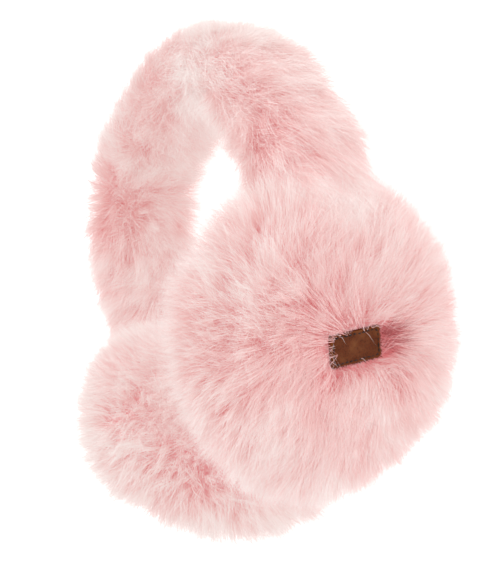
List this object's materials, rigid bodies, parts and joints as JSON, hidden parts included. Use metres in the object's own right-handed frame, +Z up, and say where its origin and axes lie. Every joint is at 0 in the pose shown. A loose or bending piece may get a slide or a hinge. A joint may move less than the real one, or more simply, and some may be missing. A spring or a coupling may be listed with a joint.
{
  "type": "fur earmuffs",
  "caption": "Round fur ear cups on a fur covered springy headband, with a small leather label at the middle of one cup; lying on its side.",
  "frame": {"origin": "centre of the bounding box, on the floor under the earmuffs as they lie", "axes": "+Z up from the floor; +X from the plain ear cup to the one with the label; +Y from the ear cups towards the crown of the headband"},
  "size_m": [0.1864, 0.2122, 0.1241],
  "materials": {
    "cup_fur": "long soft pink faux fur",
    "band_fur": "soft pink faux fur",
    "label_leather": "matt brown leather, stitched"
  },
  "bodies": {
    "root": {"ear_cup_with_label": "cup_fur", "ear_cup_plain": "cup_fur", "headband": "band_fur", "leather_label": "label_leather"}
  },
  "joints": []
}
